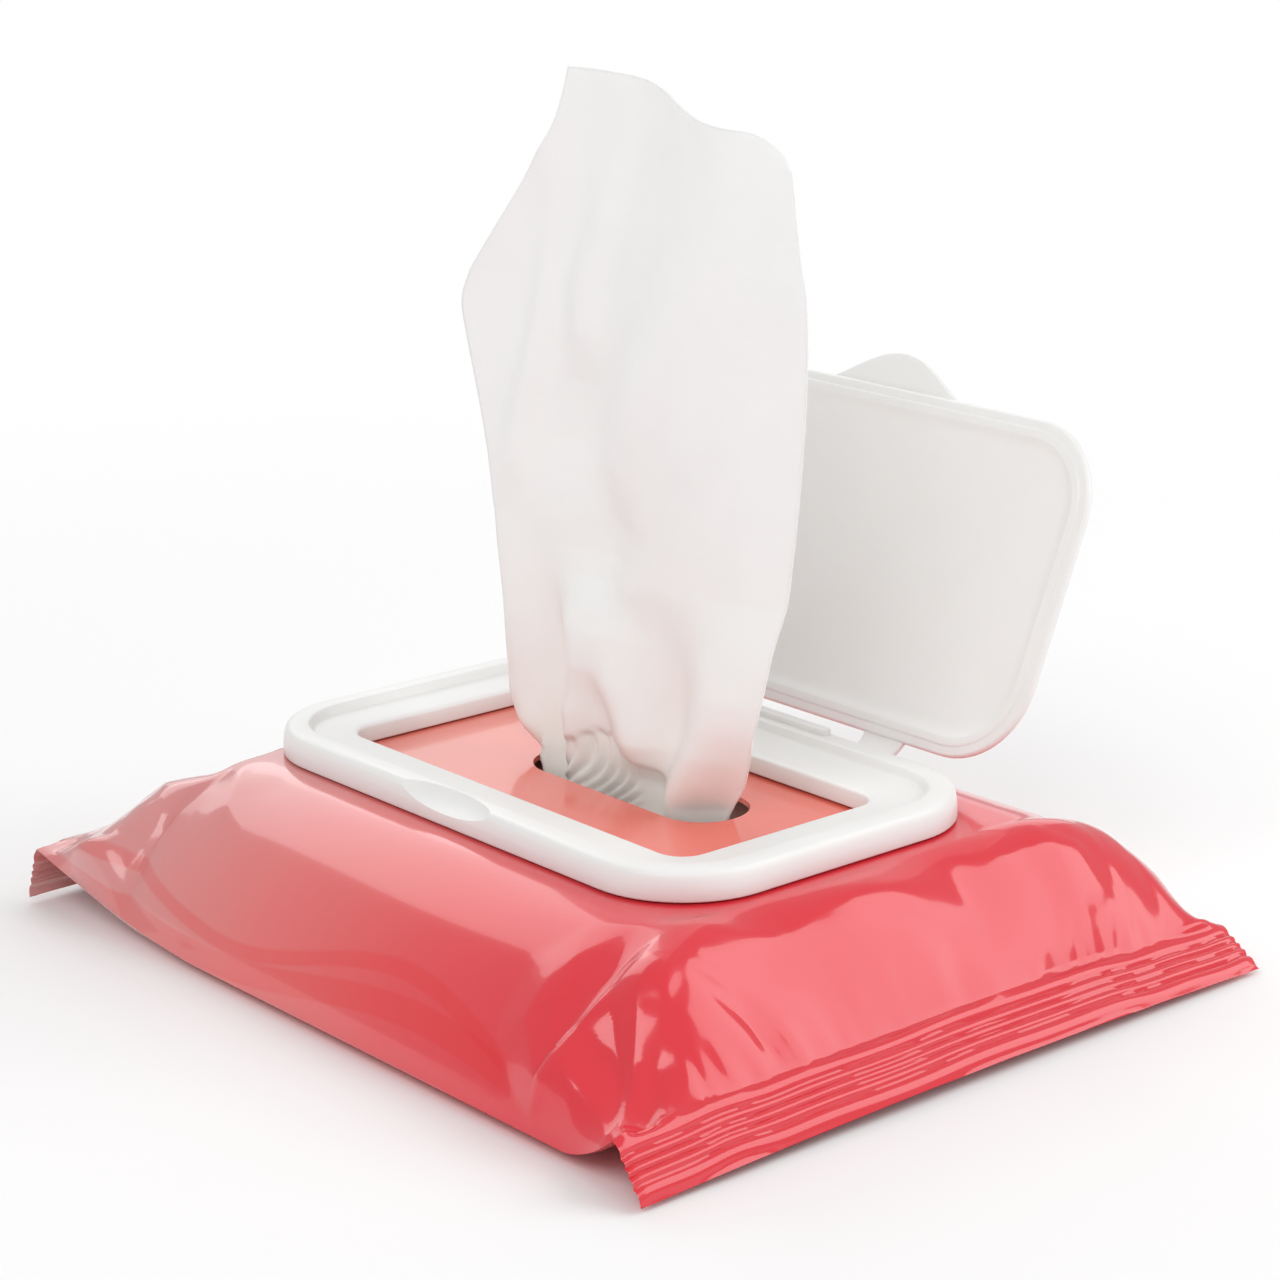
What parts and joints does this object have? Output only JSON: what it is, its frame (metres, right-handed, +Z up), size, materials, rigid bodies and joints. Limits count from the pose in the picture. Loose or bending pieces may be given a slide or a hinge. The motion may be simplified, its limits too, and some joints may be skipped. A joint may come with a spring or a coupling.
{
  "type": "wet wipes pack",
  "caption": "Soft flow-wrapped pack of wet wipes with crimped end seals and a white flip-top lid, open, with one wipe pulled up through the slot.",
  "frame": {"origin": "on the flat underside of the pack, under the middle of the dispenser frame", "axes": "+X along the pack towards one crimped end, +Y towards the lid hinge, +Z up out of the slot"},
  "size_m": [0.1592, 0.1337, 0.1415],
  "materials": {
    "film": "glossy printed film, coral red paling to dusty pink at one end",
    "lid_plastic": "satin white moulded plastic",
    "wipe": "soft damp non-woven"
  },
  "bodies": {
    "pack": {"film_pack": "film", "wipes_stack": "wipe", "pulled_wipe": "wipe", "lid_frame": "lid_plastic", "hinge_strap_left": "lid_plastic", "hinge_strap_right": "lid_plastic"},
    "lid": {"flip_lid": "lid_plastic"}
  },
  "joints": [
    {"name": "lid_hinge", "type": "hinge", "parent": "pack", "child": "lid", "pos_m": [0, 0.03473, 0.02679], "axis": [1, 0, 0], "range_deg": [0, 113.3], "deforming": ["pulled_wipe", "hinge_strap_left", "hinge_strap_right"]}
  ]
}
